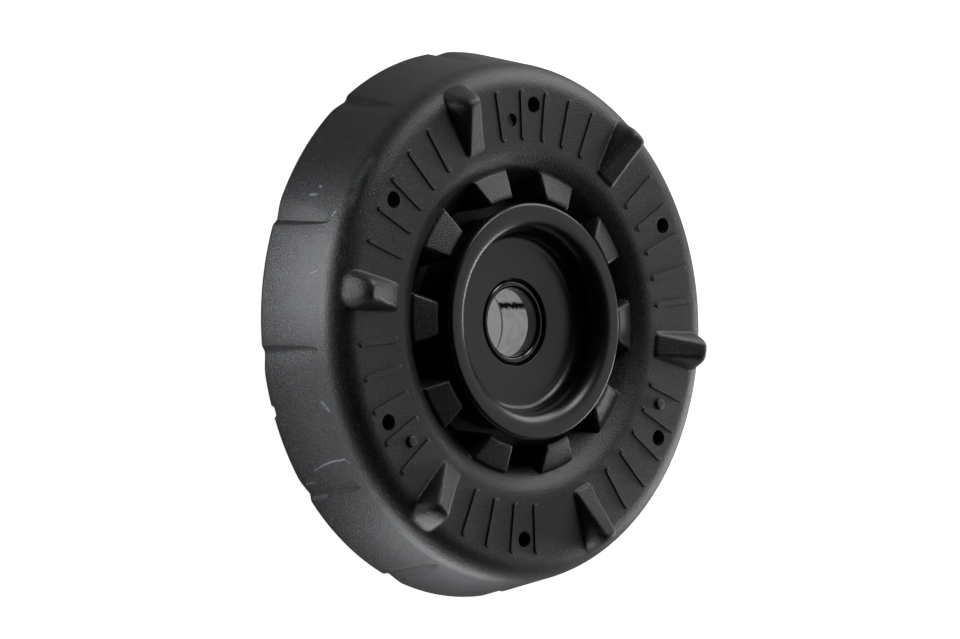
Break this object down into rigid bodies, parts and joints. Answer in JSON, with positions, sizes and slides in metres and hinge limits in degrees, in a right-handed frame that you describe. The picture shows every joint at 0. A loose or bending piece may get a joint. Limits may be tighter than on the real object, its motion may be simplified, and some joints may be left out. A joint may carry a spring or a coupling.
{
  "type": "strut mount",
  "caption": "Round rubber strut top mount with a fluted tapered wall, wedge ribs on its face, stop blocks in a recess and a steel cup with a rod hole.",
  "frame": {"origin": "on the mount's axis, at the rubber base that it stands on", "axes": "+Z along the axis towards the ribbed tower face, +X through the middle of one wedge rib"},
  "size_m": [0.152, 0.152, 0.0321],
  "materials": {
    "rubber": "moulded matt black rubber with a fine dry grain",
    "ring_steel": "dull black dip coat on pressed steel",
    "cup_coat": "satin black dip coat on drawn steel",
    "sleeve_coat": "glossy black dip coat on drawn steel, with a bare bore"
  },
  "bodies": {
    "root": {"rubber_isolator": "rubber", "seat_ring": "ring_steel", "upper_cup": "cup_coat", "lower_sleeve": "sleeve_coat"}
  },
  "joints": []
}
